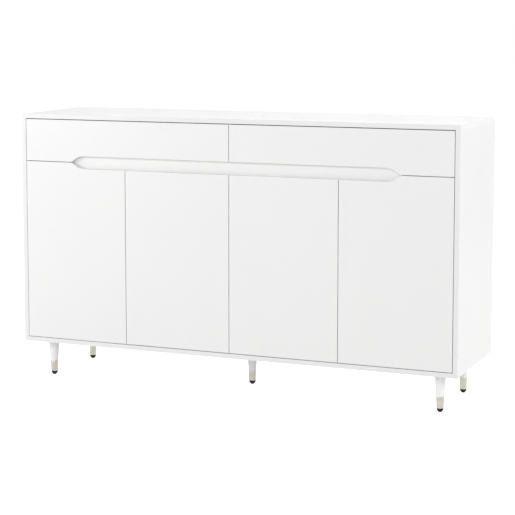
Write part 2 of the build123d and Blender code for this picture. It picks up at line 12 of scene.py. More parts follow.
import bmesh
import bpy
import numpy as np
from mathutils import Euler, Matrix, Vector

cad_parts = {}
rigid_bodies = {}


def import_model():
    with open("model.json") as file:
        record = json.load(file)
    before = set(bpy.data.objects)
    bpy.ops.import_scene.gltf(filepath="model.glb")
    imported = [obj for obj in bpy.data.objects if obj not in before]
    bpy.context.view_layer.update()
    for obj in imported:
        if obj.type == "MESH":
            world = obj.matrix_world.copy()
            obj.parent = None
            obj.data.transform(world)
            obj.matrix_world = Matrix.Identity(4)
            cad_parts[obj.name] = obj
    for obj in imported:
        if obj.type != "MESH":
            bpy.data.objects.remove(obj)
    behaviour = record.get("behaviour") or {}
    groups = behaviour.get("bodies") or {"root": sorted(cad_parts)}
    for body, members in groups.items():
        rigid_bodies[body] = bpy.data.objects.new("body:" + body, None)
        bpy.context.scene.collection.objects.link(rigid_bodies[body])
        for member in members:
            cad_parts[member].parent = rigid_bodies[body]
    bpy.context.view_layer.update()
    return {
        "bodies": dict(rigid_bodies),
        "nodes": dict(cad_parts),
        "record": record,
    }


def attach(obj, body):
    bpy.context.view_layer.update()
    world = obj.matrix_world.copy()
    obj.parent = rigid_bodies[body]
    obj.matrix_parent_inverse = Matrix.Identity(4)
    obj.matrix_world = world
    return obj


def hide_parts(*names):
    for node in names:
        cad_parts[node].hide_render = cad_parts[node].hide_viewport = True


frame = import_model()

NODES = frame["nodes"]
MM = 0.001
slot_of = {part["node"]: part["material_slot"] for part in frame["record"]["subparts"]}

# %% [markdown]
# ## Camera
# Furniture is usually pictured through a long lens, from a little to one side and above the top, so
# that the upright edges stay upright. A level camera with a large lens shift would keep them exactly
# parallel. Here most of the downward view comes from a small tilt and the rest from the shift, so
# that other views of the piece stay whole.

# %% Place the camera
CAMERA_PLACE = (1.961, -4.717, 1.206)
CAMERA_TURN = 22.45      # degrees to the left of straight back
CAMERA_TILT = 5.92       # degrees down
CAMERA_LENS = 109.4      # millimetres
CAMERA_SENSOR = 36
CAMERA_SHIFT = -0.15


def make_camera():
    """The scene's camera: turned about the upright axis first, then tilted down."""
    data = bpy.data.cameras.new("camera")
    data.lens = CAMERA_LENS
    data.sensor_width = CAMERA_SENSOR
    data.shift_y = CAMERA_SHIFT
    camera = bpy.data.objects.new("camera", data)
    camera.location = CAMERA_PLACE
    camera.rotation_euler = Euler((math.radians(90 - CAMERA_TILT), 0, math.radians(CAMERA_TURN)))
    bpy.context.scene.collection.objects.link(camera)
    bpy.context.scene.camera = camera
    return camera


print("camera at", [round(c, 3) for c in make_camera().location])

# %% [markdown]
# ## Meshes from arrays
# Turned and drawn metal is smooth in two directions: round an axis and along an outline. Such a piece
# could be pushed into shape by hand from a primitive, but then its sizes are hard to change. Here it
# is a grid of points worked out all at once with numpy, or several such grids in one mesh. A row of
# points that falls on one spot, as at the tip of a dome, is merged into a pole, and the faces are
# then turned outwards.

# %% Grids into meshes
SAME_PLACE = 1e-6        # metres: points closer than this are one
NO_LENGTH = 1e-7


def grid_faces(rows, columns, wrap_rows, wrap_columns):
    """Quads of a grid: (i, j), (i, j+1), (i+1, j+1) and (i+1, j), counted round where it wraps."""
    i, j = np.meshgrid(
        np.arange(rows if wrap_rows else rows - 1),
        np.arange(columns if wrap_columns else columns - 1),
        indexing="ij",
    )
    right, down = (j + 1) % columns, (i + 1) % rows
    here, under = i * columns, down * columns
    quads = np.stack([here + j, here + right, under + right, under + j], -1)
    return quads.reshape(-1, 4)


def mesh_piece(name, grids, sharp_angle=35):
    """One object from several grids, each (points[rows, columns, 3], wrap_rows, wrap_columns)."""
    all_points, all_quads, start = [], [], 0
    for points, wrap_rows, wrap_columns in grids:
        rows, columns = points.shape[:2]
        all_points.append(points.reshape(-1, 3))
        all_quads.append(grid_faces(rows, columns, wrap_rows, wrap_columns) + start)
        start += rows * columns
    points, quads = np.concatenate(all_points), np.concatenate(all_quads)
    mesh = bpy.data.meshes.new(name)
    mesh.from_pydata(points.tolist(), [], quads.tolist())
    shape = bmesh.new()
    shape.from_mesh(mesh)
    bmesh.ops.remove_doubles(shape, verts=shape.verts, dist=SAME_PLACE)
    bmesh.ops.dissolve_degenerate(shape, edges=shape.edges, dist=NO_LENGTH)
    bmesh.ops.recalc_face_normals(shape, faces=shape.faces)
    shape.to_mesh(mesh)
    shape.free()
    mesh.shade_smooth()
    mesh.set_sharp_from_angle(angle=math.radians(sharp_angle))
    piece = bpy.data.objects.new(name, mesh)
    bpy.context.scene.collection.objects.link(piece)
    return piece


# %% [markdown]
# ### Outlines
# Pressed, rolled and turned metal has no sharp bends, so its outlines are corners with arcs in them.
# Arcs could be drawn with curves and converted. Working them out keeps every radius a plain number.

# %% Rounded corners and turned shapes
def rounded_outline(corners, radii, steps=6):
    """A closed outline with its corners turned into arcs. A corner whose radius is 0 stays sharp.

    At a corner with unit directions a and b to its neighbours, the arc's ends lie r / tan(half the
    angle) along them, and its centre lies r / sin(half the angle) along the line between them.
    """
    corners = np.asarray(corners, float)
    count = len(corners)
    made = []
    for k in range(count):
        here, radius = corners[k], radii[k]
        if radius == 0:
            made.append(here[None])
            continue
        a = corners[k - 1] - here
        b = corners[(k + 1) % count] - here
        a, b = a / np.linalg.norm(a), b / np.linalg.norm(b)
        half = math.acos(np.clip(a @ b, -1, 1)) / 2
        centre = here + (a + b) / np.linalg.norm(a + b) * radius / math.sin(half)
        start, end = here + a * radius / math.tan(half), here + b * radius / math.tan(half)
        first = math.atan2(*(start - centre)[::-1])
        sweep = math.atan2(*(end - centre)[::-1]) - first
        sweep = (sweep + math.pi) % (2 * math.pi) - math.pi
        angles = first + sweep * np.linspace(0, 1, steps)
        made.append(centre + radius * np.stack([np.cos(angles), np.sin(angles)], -1))
    return np.concatenate(made)


def lathe(outline, centre, segments=96):
    """A turned grid: each outline point (radius, height) goes round the upright axis through centre."""
    angles = np.linspace(0, 2 * math.pi, segments, endpoint=False)
    radius, height = outline[:, 0, None], outline[:, 1, None]
    x = centre[0] + radius * np.cos(angles)
    y = centre[1] + radius * np.sin(angles)
    z = height + 0 * angles
    return np.stack([x, y, z], -1), False, True


# %% [markdown]
# ## Finishes
# No real surface is one colour with one gloss. Painted pictures of a surface could be wrapped round
# each piece, but they need unwrapping and blur close up. So each finish is a small node tree on
# Object coordinates, which are metres here: a noise scale of 700 makes grains about a millimetre and
# a half wide, on every piece alike.

# %% Node helpers
class Finish:
    """A material with its Principled shader and a short way to add and join nodes."""

    def __init__(self, name, **sockets):
        self.material = bpy.data.materials.new(name)
        self.material.use_nodes = True
        self.tree = self.material.node_tree
        self.shader = self.tree.nodes["Principled BSDF"]
        self.set(self.shader, **sockets)
        self.place = self.add("ShaderNodeTexCoord").outputs["Object"]

    def add(self, kind, settings=None, **sockets):
        """A new node with its settings and its sockets' values or links."""
        node = self.tree.nodes.new(kind)
        for key, value in (settings or {}).items():
            setattr(node, key, value)
        self.set(node, **sockets)
        return node

    def set(self, node, **sockets):
        """Links each socket that is given another socket, and sets each one that is given a value."""
        for key, value in sockets.items():
            socket = node.inputs[key.replace("_", " ")]
            if isinstance(value, bpy.types.NodeSocket):
                self.tree.links.new(value, socket)
            else:
                socket.default_value = value

    def noise(self, scale, detail=2.0, stretch=(1, 1, 1), roughness=0.5):
        """Noise from 0 to 1 whose grains are 1 / scale metres, stretched along each axis."""
        mapping = self.add("ShaderNodeMapping", Vector=self.place, Scale=stretch)
        node = self.add("ShaderNodeTexNoise", Vector=mapping.outputs["Vector"])
        self.set(node, Scale=scale, Detail=detail, Roughness=roughness)
        return node.outputs["Fac"]

    def ramp(self, value, low, high, to_low, to_high):
        """Straight-line change of a value: low..high becomes to_low..to_high, held at the ends."""
        node = self.add("ShaderNodeMapRange")
        keys = ("From Min", "From Max", "To Min", "To Max")
        for key, number in zip(keys, (low, high, to_low, to_high)):
            node.inputs[key].default_value = number
        self.tree.links.new(value, node.inputs["Value"])
        return node.outputs["Result"]

    def mix(self, factor, a, b):
        """A colour between a and b, each a colour or a socket. Sockets 6 and 7 are the colours."""
        node = self.add("ShaderNodeMix", {"data_type": "RGBA"})
        for key, value in ((0, factor), (6, a), (7, b)):
            if isinstance(value, bpy.types.NodeSocket):
                self.tree.links.new(value, node.inputs[key])
            else:
                node.inputs[key].default_value = value
        return node.outputs[2]

    def bump(self, *layers):
        """Bumps stacked in order, each (height, depth in metres)."""
        normal = None
        for height, depth in layers:
            node = self.add("ShaderNodeBump", Height=height, Distance=depth, Strength=1.0)
            if normal:
                self.tree.links.new(normal, node.inputs["Normal"])
            normal = node.outputs["Normal"]
        self.tree.links.new(normal, self.shader.inputs["Normal"])

    def clouds(self, noise, a, b):
        """A colour that drifts from a to b with a noise, over the middle of its range."""
        return self.mix(self.ramp(noise, 0.3, 0.7, 0, 1), a, b)

    def paint(self, colour, roughness):
        """Links the shader's colour and roughness."""
        self.tree.links.new(colour, self.shader.inputs["Base Color"])
        self.tree.links.new(roughness, self.shader.inputs["Roughness"])


def grey(value, warm=0.0):
    """A near-neutral colour: warm above 0 leans to red and away from blue."""
    return (value * (1 + warm), value, value * (1 - warm), 1.0)


# %% [markdown]
# ### White lacquer
# Sprayed satin lacquer over a smooth board isn't perfectly even: it has a faint orange peel, very slight
# clouding, and a gloss that drifts a little from place to place. The front edges of the box carry an
# edge tape that is a shade duller than the lacquered faces, and the ends of the top are painted a shade
# lighter. The rail seen through the finger recess is painted a lighter white than the other boards,
# which is painted light for the shade in the recess. The tape could be a thin piece of its own. It is a
# change of finish by the way that a face looks, because it is far thinner than its rounded edge.

# %% Lacquers and coatings
WHITE = 0.87
RAIL_WHITE_PAINTED_LIGHTER = 0.885        # painted a lighter white than the other boards: painted light for the shaded recess that the rail is seen through
LEG_WHITE = WHITE * 1.03
PEEL_BUMP = 0.00001       # metres, the wide waves of the orange peel
GRAIN_BUMP = 0.000008     # metres, its fine grain


def lacquer(name, white, tape="", peel=1.0):
    """Sprayed lacquer. Faces that look the ways that tape names change: front faces carry a duller edge
    tape, and end faces are painted a shade lighter.
    """
    finish = Finish(name, Coat_Weight=0.12, Coat_Roughness=0.12)
    colour = finish.clouds(finish.noise(2.2, 3), grey(white * 0.988, 0.002), grey(white, 0.004))
    gloss = finish.ramp(finish.noise(9, 2), 0.3, 0.7, 0.34, 0.42)
    if tape:
        normal = finish.add("ShaderNodeTexCoord").outputs["Normal"]
        facing = finish.add("ShaderNodeSeparateXYZ", Vector=normal)
        streaks = finish.noise(60, 3, (0.05, 1, 1))
    if "front" in tape:
        taped = finish.ramp(facing.outputs["Y"], -0.9, -0.98, 0, 1)
        duller = finish.clouds(streaks, grey(white * 0.955, 0.003), grey(white * 0.97, 0.004))
        colour = finish.mix(taped, colour, duller)
    # The ends are painted a shade lighter than the lacquered faces.
    if "ends" in tape:
        along = finish.add("ShaderNodeMath", {"operation": "ABSOLUTE"}, Value=facing.outputs["X"])
        taped = finish.ramp(along.outputs[0], 0.9, 0.98, 0, 1)
        lighter = finish.clouds(streaks, grey(white * 1.02, 0.003), grey(white * 1.035, 0.004))
        colour = finish.mix(taped, colour, lighter)
    finish.paint(colour, gloss)
    finish.bump((finish.noise(160, 1), PEEL_BUMP * peel), (finish.noise(750, 2), GRAIN_BUMP * peel))
    return finish.material


def hardboard(name):
    """A thin white coating over pressed fibre: matt, with short fibres showing through."""
    finish = Finish(name)
    fibre = finish.noise(900, 4, (0.35, 1, 1), 0.65)
    colour = finish.clouds(finish.noise(14, 4), grey(0.72, 0.006), grey(0.737, 0.004))
    colour = finish.mix(finish.ramp(fibre, 0.45, 0.75, 0, 0.25), colour, grey(0.60, 0.012))
    finish.paint(colour, finish.ramp(fibre, 0.3, 0.7, 0.5, 0.66))
    finish.bump((fibre, 0.00004))
    return finish.material


FINISHES = {
    "white_lacquered_board": lacquer("white_lacquer", WHITE),
    "white_front_tape": lacquer("white_lacquer_taped_in_front", WHITE, "front"),
    # the top has the duller tape in front, and its ends are painted a shade lighter
    "white_top_tape": lacquer("white_lacquer_taped_round", WHITE, "front and ends"),
    # the rail's lighter white is painted light for the shade inside the finger recess
    "white_rail_painted_lighter": lacquer("white_lacquer_painted_lighter_on_rail", RAIL_WHITE_PAINTED_LIGHTER),
    "white_hardboard": hardboard("white_hardboard"),
    "white_leg_paint": lacquer("white_leg_paint", LEG_WHITE, peel=1.6),
}
print("white finishes", len(FINISHES))


# %% [markdown]
# ### Metals
# The ferrules are plated with satin nickel, and turning leaves fine rings round their axis. The
# fittings are zinc plated, which is bluer, with soft blotches and drawing marks. Rings could be cut
# into the mesh, but they are finer than a hair, so they are a noise that is squeezed along one axis.

# %% Nickel and zinc
def turned_nickel(name):
    """Warm satin metal whose roughness and bump run in fine level rings."""
    finish = Finish(name, Metallic=1.0, Specular_IOR_Level=0.5)
    rings = finish.noise(2600, 3, (0.02, 0.02, 1))
    colour = finish.clouds(finish.noise(70, 3), (0.755, 0.72, 0.645, 1), (0.832, 0.80, 0.722, 1))
    finish.paint(colour, finish.ramp(rings, 0.25, 0.75, 0.26, 0.42))
    finish.bump((rings, 0.000012))
    return finish.material


def zinc_plate(name):
    """Cool plated steel, blotched in colour and gloss, with drawing marks along Y."""
    finish = Finish(name, Metallic=1.0)
    blotch = finish.noise(120, 4)
    marks = finish.noise(1500, 2, (1, 0.06, 1))
    colour = finish.clouds(blotch, (0.60, 0.61, 0.625, 1), (0.67, 0.68, 0.69, 1))
    finish.paint(colour, finish.ramp(blotch, 0.3, 0.7, 0.27, 0.36))
    finish.bump((marks, 0.000008), (blotch, 0.00001))
    return finish.material


FINISHES["satin_nickel"] = turned_nickel("satin_nickel")
FINISHES["zinc_steel"] = zinc_plate("zinc_steel")
print("finishes with the metals", len(FINISHES))


# %% [markdown]
# ### Plastic, wood and pads
# The glides are moulded black plastic with a fine spark-eroded grain. Dowels are beech, whose short
# dark flecks lie along the grain. The bumpers are clear soft pads, a little hazy. All three use the
# same few nodes at other scales, so that a reader can compare them line by line.

# %% The small materials
def moulded_plastic(name):
    """Black plastic with a fine grain, greyer where it is worn."""
    finish = Finish(name, Specular_IOR_Level=0.25)
    grain = finish.noise(2200, 3)
    worn = finish.noise(180, 4)
    black, rubbed = (0.006, 0.006, 0.006, 1), (0.015, 0.015, 0.0155, 1)
    colour = finish.mix(finish.ramp(worn, 0.35, 0.75, 0, 1), black, rubbed)
    finish.paint(colour, finish.ramp(grain, 0.3, 0.7, 0.36, 0.52))
    finish.bump((grain, 0.00003))
    return finish.material


def beech(name):
    """Pale wood with darker flecks, drawn out along X."""
    finish = Finish(name)
    grain = finish.noise(900, 4, (0.08, 1, 1), 0.6)
    pale, fleck = (0.62, 0.42, 0.24, 1), (0.42, 0.25, 0.13, 1)
    colour = finish.mix(finish.ramp(grain, 0.35, 0.7, 0, 1), pale, fleck)
    finish.paint(colour, finish.ramp(grain, 0.3, 0.7, 0.5, 0.65))
    finish.bump((grain, 0.00003))
    return finish.material


def clear_pad(name):
    """A soft see-through pad whose haze changes both its colour and its gloss."""
    finish = Finish(name, IOR=1.42, Transmission_Weight=0.55)
    haze = finish.noise(300, 3)
    finish.paint(finish.clouds(haze, grey(0.84), grey(0.90)), finish.ramp(haze, 0.3, 0.7, 0.12, 0.24))
    finish.bump((haze, 0.00001))
    return finish.material


FINISHES["black_glide"] = moulded_plastic("black_glide")
FINISHES["beech_dowel"] = beech("beech_dowel")
FINISHES["clear_bumper"] = clear_pad("clear_bumper")
print("finishes", sorted(FINISHES))

# %% [markdown]
# ## Boards
# A real board edge is never a perfect knife edge: tape and lacquer leave a radius of under a
# millimetre, and that thin line of light is what makes a white board read as an object. The rounding
# could be cut into the solid parts, but it is a matter of finish. So their meshes stay as they are. A
# Weld modifier joins their loose triangles, a planar Decimate clears the flat faces, and a Bevel
# rounds what is left.

# %% Round the edges
BOARD_EDGE = 0.9 * MM
SHEET_EDGE = 0.3 * MM
WELD_REACH = 0.01 * MM
FLAT_ANGLE = 0.5         # degrees: faces that differ by less are one face


def round_edges(piece, width, segments, angle):
    """A bevel of the given width on every edge sharper than angle, in degrees."""
    bevel = piece.modifiers.new("edges", "BEVEL")
    bevel.width = width
    bevel.segments = segments
    bevel.limit_method = "ANGLE"
    bevel.angle_limit = math.radians(angle)
    bevel.harden_normals = True
    return piece


def soften(piece, width, segments=3):
    """Weld, clear the flats and round every edge sharper than 40 degrees."""
    weld = piece.modifiers.new("join", "WELD")
    weld.merge_threshold = WELD_REACH
    clear = piece.modifiers.new("flats", "DECIMATE")
    clear.decimate_type = "DISSOLVE"
    clear.angle_limit = math.radians(FLAT_ANGLE)
    round_edges(piece, width, segments, 40)


# %% [markdown]
# ### Which board gets which finish
# The parts list names a finish for every part. A few boards need a closer one: the rail is painted a
# lighter white, which is painted light for the shade of the finger recess, and the edges of the box
# carry tape. A rule by name keeps that in one place.

# %% Finish the carried-over parts
TAPED = ("bottom_panel", "side_panel")
THIN_SHEET = ("hinge_plates", "middle_leg_plate", "shelf_pins", "cam_locks")


def finish_for(node):
    """The finish of a part: its own from the parts list, unless its name asks for a closer one."""
    # The rail in the finger recess gets the lighter white: painted light for the shade in the recess.
    if node.endswith("recess_rail"):
        return "white_rail_painted_lighter"
    if node.endswith("top_panel"):
        return "white_top_tape"
    return "white_front_tape" if node.endswith(TAPED) else slot_of[node]


for node, piece in NODES.items():
    piece.data.materials.clear()
    piece.data.materials.append(FINISHES[finish_for(node)])
    if slot_of[node] == "white_lacquered_board":
        soften(piece, BOARD_EDGE)
    elif node in THIN_SHEET:
        soften(piece, SHEET_EDGE, 2)
print("parts with rounded edges", sum(1 for piece in NODES.values() if piece.modifiers))

# %% [markdown]
# ## Finding the small parts
# One node can hold many loose parts: all the screws, or both cups of a door. New pieces take their
# places from these. The places could be typed in, but then a change of size would leave the pieces
# behind. So each part is found first, as the set of points joined by edges.

# %% Split a node into its loose parts
SAME_LEVEL = 1e-5        # metres: points nearer than this to a part's end are on it


def loose_parts(node):
    """The points of each part of a node.

    Points in one place share a number. Each edge passes the lower of its ends' numbers on, over and
    over, until every point of a part holds the lowest number in it.
    """
    mesh = NODES[node].data
    points = np.empty(len(mesh.vertices) * 3)
    mesh.vertices.foreach_get("co", points)
    points = points.reshape(-1, 3)
    edges = np.empty(len(mesh.edges) * 2, int)
    mesh.edges.foreach_get("vertices", edges)
    cells = np.round(points / SAME_PLACE).astype(int)
    _, first, number = np.unique(cells, axis=0, return_index=True, return_inverse=True)
    places = points[first]
    a, b = number.ravel()[edges.reshape(-1, 2)].T
    label = np.arange(len(places))
    while True:
        lower = np.minimum(label[a], label[b])
        passed = label.copy()
        np.minimum.at(passed, a, lower)
        np.minimum.at(passed, b, lower)
        passed = passed[passed]
        if (passed == label).all():
            return [places[label == k] for k in np.unique(label)]
        label = passed


def spans(points):
    """The lowest and the highest corner of a part's box."""
    return points.min(0), points.max(0)


print("loose parts of the screws", len(loose_parts("panel_screws")))


# %% Put a piece into service
def carry(piece, body, slot, *replaced):
    """Gives a new piece its finish, its body and the nodes that it stands for."""
    piece.data.materials.append(FINISHES[slot])
    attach(piece, body)
    if replaced:
        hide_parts(*replaced)
    print(piece.name, "on", body, "faces", len(piece.data.polygons))
    return piece


def dome_corner(radius, height, steps, power=2.0):
    """Quarter of a rounded end from its axis out: (radius, height) is (sin(t), cos(t)) of its full size.

    Each is raised to 2 / power first, so the end is flatter and its shoulder crisper as power grows.
    """
    t = np.linspace(0, math.pi / 2, steps)
    return np.stack([radius * np.sin(t) ** (2 / power), height * np.cos(t) ** (2 / power)], -1)


# %% [markdown]
# ## Ferrules
# The ferrule is a tapered tube slid over the foot of the leg. It is spun from sheet, so its lips are
# rolled and two fine lines are turned into it near the top. A cylinder with a scaled foot would have
# the taper but no wall, lips or lines, so the cut through its wall is drawn and turned instead.

# %% Ferrules
FERRULE_WALL = 1.4 * MM
FERRULE_LIP = 0.5 * MM
LINE_DEPTH = 0.22 * MM
LINE_HALF_WIDTH = 0.35 * MM
LINES_BELOW_TOP = (3.2 * MM, 4.6 * MM)


def ferrule_outline(top_radius, bottom_radius, low, high):
    """(radius, height) round a tube's wall: a straight taper, with lips and two turned lines.

    Each line takes LINE_DEPTH off the radius at its middle, and e to the minus square of the distance
    over LINE_HALF_WIDTH of that elsewhere.
    """
    share = np.linspace(0.03, 0.97, 64)
    height = low + (high - low) * share
    radius = bottom_radius + (top_radius - bottom_radius) * share
    lines = sum(np.exp(-(((height - high + at) / LINE_HALF_WIDTH) ** 2)) for at in LINES_BELOW_TOP)
    outer = np.stack([radius - LINE_DEPTH * lines, height], -1)
    lip_top = [(top_radius - FERRULE_LIP, high), (top_radius - FERRULE_WALL, high)]
    lip_low = [(bottom_radius - FERRULE_WALL, low), (bottom_radius - FERRULE_LIP, low)]
    return np.concatenate([outer, np.array(lip_top), np.array(lip_low)])


grids = []
for points in loose_parts("leg_ferrules"):
    low, high = spans(points)
    top, foot = points[points[:, 2] > high[2] - MM], points[points[:, 2] < low[2] + MM]
    centre = (low + high) / 2
    top_radius, bottom_radius = np.ptp(top[:, 0]) / 2, np.ptp(foot[:, 0]) / 2
    outline = ferrule_outline(top_radius, bottom_radius, low[2], high[2])
    grid, _, _ = lathe(outline, centre)
    grids.append((grid, True, True))
carry(mesh_piece("spun_ferrules", grids), "cabinet", "satin_nickel", "leg_ferrules")
FERRULE_LOW = low[2]

# %% [markdown]
# ## Glides
# The glide keeps the leg off the floor. It is moulded: a short rim, then a blunt cone that ends in the
# small worn flat it stands on. Half a sphere would look too round, and would stand on a point. A power
# a little over 1 makes the cone's side swell gently instead.

# %% Glides
GLIDE_RIM_LOW = 4.4 * MM     # from the top of the glide to where its cone starts
GLIDE_ROOM = 0.1 * MM        # under the ferrule


def glide_outline(rim, flat, high, edge=0.5 * MM):
    """From the middle of the top, out over the rim, and down a blunt cone to the flat.

    Down the cone, t goes from 0 to 1. The radius loses t to the 1.35 of the way from rim to flat, and
    the height loses t to the 1.1 of itself.
    """
    bead = dome_corner(edge, edge, 6)
    start = np.array([[0, high]])
    over = np.stack([rim - edge + bead[:, 0], high - edge + bead[:, 1]], -1)
    t = np.linspace(0, 1, 24)
    cone = np.stack([rim - (rim - flat) * t**1.35, (high - GLIDE_RIM_LOW) * (1 - t**1.1)], -1)
    return np.concatenate([start, over, cone, [[flat * 0.8, 0]], [[0, 0]]])


grids = []
for points in loose_parts("leg_glides"):
    low, high = spans(points)
    centre = (low + high) / 2
    rim = (high[0] - low[0]) / 2
    flat = np.ptp(points[points[:, 2] < SAME_LEVEL][:, 0]) / 2
    grids.append(lathe(glide_outline(rim, flat, FERRULE_LOW - GLIDE_ROOM), centre, 64))
carry(mesh_piece("moulded_glides", grids, 60), "cabinet", "black_glide", "leg_glides")

# %% [markdown]
# ## Screws
# Every screw here is a small countersunk one with a cross recess. The recess could be cut with a
# Boolean, which is slow and untidy a hundred times over. Instead the head is a round sheet of rings
# whose middle sinks where a cross lies over it, and the cone, the shank and the point carry on from
# its rim. The same sheet is set at each place, along each direction.

# %% The cross recess
CROSS_REACH = 0.62       # shares of the head's radius
CROSS_HALF = 0.13
CROSS_DEPTH = 0.504


def smooth_step(value, low, high):
    """0 below low, 1 above high, and a smooth rise between."""
    t = np.clip((value - low) / (high - low), 0, 1)
    return t * t * (3 - 2 * t)


def cross_depth(x, y, radius):
    """How far a cross recess sinks: 1 on its arms, 0 off them, and falling off at their ends.

    A point is on an arm where the smaller of |x| and |y| is under the arm's half width and the larger
    is under its reach. Both limits are smooth steps, and the depth is the two multiplied.
    """
    x, y = np.abs(x) / radius, np.abs(y) / radius
    across = 1 - smooth_step(np.minimum(x, y), CROSS_HALF * 0.75, CROSS_HALF * 1.25)
    along = 1 - smooth_step(np.maximum(x, y), CROSS_REACH * 0.8, CROSS_REACH)
    return across * along


print("recess at the middle and on the rim", cross_depth(0, 0, 1), cross_depth(1, 0, 1))

# %% Cross-recessed screws
SEGMENTS = 24
HEAD_RINGS = np.array([  # shares of the head's radius
    0, 0.08, 0.16, 0.26, 0.36, 0.46, 0.56, 0.66, 0.8, 0.93, 0.99,
])
PANEL_SHANK = 0.55       # share of the head


def screw_grid(seat, way, head, length, shank, proud=0.0):
    """A screw whose head's face is at seat and which points along the unit vector way.

    The head's rings sink by the cross and rise in a crown that is proud at the middle and falls off
    with the square of the radius. Four more rings make the cone, the shank and the point.
    """
    way = np.array(way, float)
    side = np.array([0, 0, 1.0]) if abs(way[2]) < 0.5 else np.array([1.0, 0, 0])
    other = np.cross(way, side)
    turn = np.linspace(0, 2 * math.pi, SEGMENTS, endpoint=False) + math.pi / SEGMENTS
    cone = [(head, 0.05 * head), (shank, 0.55 * head)]
    body = np.array(cone + [(shank, length - 1.2 * shank), (0, length)])
    radius = np.concatenate([head * HEAD_RINGS, body[:, 0]])[:, None]
    across, up = radius * np.cos(turn), radius * np.sin(turn)
    sunk = CROSS_DEPTH * head * cross_depth(across, up, head) - proud * (1 - (radius / head) ** 2)
    deep = np.concatenate([sunk[: len(HEAD_RINGS)], body[:, 1:] + 0 * turn])
    place = np.asarray(seat) + across[..., None] * side + up[..., None] * other + deep[..., None] * way
    return place, False, True


# %% Set the screws in the panels
def screw_seat(points):
    """(seat, way, head radius, length) of a screw from its points: the wide end is the head."""
    low, high = spans(points)
    axis = int(np.argmax(high - low))
    others = [k for k in range(3) if k != axis]
    near_low = points[points[:, axis] < low[axis] + SAME_LEVEL]
    near_high = points[points[:, axis] > high[axis] - SAME_LEVEL]
    width_low, width_high = np.ptp(near_low[:, others[0]]), np.ptp(near_high[:, others[0]])
    seat, way = (low + high) / 2, np.zeros(3)
    seat[axis] = low[axis] if width_low > width_high else high[axis]
    way[axis] = 1 if width_low > width_high else -1
    return seat, way, max(width_low, width_high) / 2, high[axis] - low[axis]


grids = []
for points in loose_parts("panel_screws"):
    seat, way, head, length = screw_seat(points)
    grids.append(screw_grid(seat, way, head, length, head * PANEL_SHANK))
carry(mesh_piece("cross_screws", grids, 30), "cabinet", "zinc_steel", "panel_screws")

# %% [markdown]
# ## Hinges
# A cup hinge is three pressings. The cup is drawn from sheet, with a rolled rim and a flange held by
# two screws. The arm is folded and bends down into the cup like a goose's neck. The plate is flat,
# with rounded corners. A flat pressing could be a plane with a Solidify modifier. It is an outline
# pushed through its thickness here, so that its rounded corners and its bevelled edges stay apart.

# %% Outlines pushed through a thickness
def prism(name, slices, sharp_angle=35):
    """One object from several solid slices, each a closed ring at its low end and at its high end."""
    all_points, all_faces, start = [], [], 0
    for low_ring, high_ring in slices:
        count = len(low_ring)
        here, after = np.arange(count) + start, (np.arange(count) + 1) % count + start
        all_points += [low_ring, high_ring]
        all_faces += np.stack([here, after, after + count, here + count], -1).tolist()
        all_faces += [here.tolist()[::-1], (here + count).tolist()]
        start += 2 * count
    mesh = bpy.data.meshes.new(name)
    mesh.from_pydata(np.concatenate(all_points).tolist(), [], all_faces)
    shape = bmesh.new()
    shape.from_mesh(mesh)
    bmesh.ops.recalc_face_normals(shape, faces=shape.faces)
    shape.to_mesh(mesh)
    shape.free()
    mesh.shade_smooth()
    mesh.set_sharp_from_angle(angle=math.radians(sharp_angle))
    piece = bpy.data.objects.new(name, mesh)
    bpy.context.scene.collection.objects.link(piece)
    return piece


def ring_at(outline, axis, level):
    """A flat outline as points in space, with its two numbers on the other two axes in their order."""
    return np.insert(np.asarray(outline, float), axis, level, axis=1)


def rounded_box_outline(low, high, radius, steps=6):
    """A rectangle from its low corner to its high one, with rounded corners."""
    (a, b), (c, d) = low, high
    return rounded_outline([(a, b), (c, b), (c, d), (a, d)], [radius] * 4, steps)


square = rounded_box_outline((-1, -1), (1, 1), 0.2)
print("outline of a rounded square", len(square), "points,", np.ptp(square, axis=0).round(3), "across")

# %% [markdown]
# ### Cups
# The cup sinks into a round hole in the back of the door. It is drawn deep from one disc, so its floor
# turns up in a bend and its mouth is rolled over. It is turned, like the ferrules, about a line
# that runs from front to back.

# %% The cup's shape
CUP_WALL = 1 * MM
CUP_BEND = 2.5 * MM
CUP_ROLL = 0.5 * MM


def cup_outline(radius, floor, mouth):
    """(radius, depth) from under the cup's floor, up the wall, over the rolled rim and back in."""
    t = np.linspace(0, math.pi / 2, 8)
    low_corner = (radius - CUP_BEND, floor + CUP_BEND)
    outside = np.stack([low_corner[0] + CUP_BEND * np.sin(t), low_corner[1] - CUP_BEND * np.cos(t)], -1)
    roll = np.linspace(0, math.pi, 9)
    middle, top = radius - CUP_WALL / 2, mouth - CUP_ROLL
    rim = np.stack([middle + CUP_ROLL * np.cos(roll), top + CUP_ROLL * np.sin(roll)], -1)
    x, y = low_corner[0] - CUP_WALL, low_corner[1] + CUP_WALL
    inside = np.stack([x + CUP_BEND * np.cos(t), y - CUP_BEND * np.sin(t)], -1)
    return np.concatenate([[[0, floor]], outside, rim, inside, [[0, floor + CUP_WALL]]])


def turned_back(outline, x, z, segments=72):
    """A turned grid about a line along Y: each outline point is (radius, y)."""
    grid, _, _ = lathe(outline, (x, z), segments)
    return grid[..., [0, 2, 1]], False, True


print("points in a cup's outline", len(cup_outline(17.5 * MM, 0, 12 * MM)))

# %% Cups and flanges
FLANGE_WIDTH = 20 * MM
FLANGE_ROUND = 5 * MM
FLANGE_EDGE = 0.25 * MM
FLANGE_LEVELS = (1 * MM, 0.1 * MM)     # front and back of the flange, from the back of the cup
FLANGE_LAP = 0.4 * MM                  # how far the flange reaches under the rim
FLANGE_SCREW = 24 * MM                 # from the cup's middle
FLANGE_SCREW_SIZE = (2.7 * MM, 9 * MM, 1.5 * MM)    # head, length and shank
FLANGE_SCREW_SINK = 0.05 * MM


